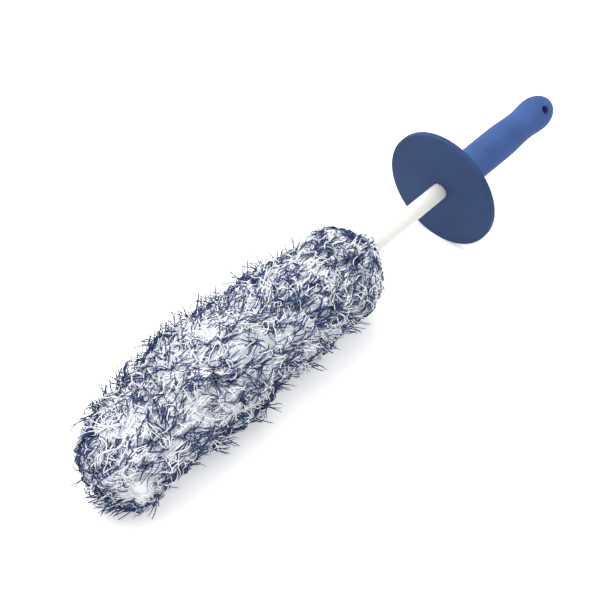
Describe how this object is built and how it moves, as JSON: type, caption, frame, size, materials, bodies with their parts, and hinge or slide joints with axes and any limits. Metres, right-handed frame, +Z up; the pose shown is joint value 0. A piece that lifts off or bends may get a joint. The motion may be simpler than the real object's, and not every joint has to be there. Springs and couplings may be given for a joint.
{
  "type": "wheel brush",
  "caption": "Long wheel brush: a soft white and navy microfibre head on a plastic rod, a round foam splash guard that slides on the rod, and a blue foam grip with a hanging hole.",
  "frame": {"origin": "on the floor under the middle of the brush's length, halfway across it", "axes": "+Z up, +X along the brush's length towards the grip's end, so the head's tip is towards -X; the hanging hole leans towards -Y"},
  "size_m": [0.4488, 0.09, 0.0901],
  "materials": {
    "rod": "semi-translucent satin plastic",
    "grip": "matt fine-grained foam",
    "guard": "matt cut foam sheet",
    "foam_core": "open-cell foam",
    "rod_cap": "matt rubber",
    "backing": "knitted cloth",
    "tie": "braided cord",
    "seam_thread": "sewing thread",
    "pile": "long split-fibre pile, white with navy strands"
  },
  "bodies": {
    "brush": {"core_rod": "rod", "grip": "grip", "padding_tube": "foam_core", "tip_pad": "foam_core", "rod_tip_cap": "rod_cap", "cover_backing": "backing", "cover_hem": "backing", "neck_tie": "tie", "side_seam_thread": "seam_thread", "tip_seam_thread": "seam_thread", "pile": "pile"},
    "guard": {"hand_guard": "guard"}
  },
  "joints": [
    {"name": "guard_slide", "type": "slide", "parent": "brush", "child": "guard", "axis": [-0.9991, 0, -0.0421], "range_m": [0, 0.05]}
  ]
}
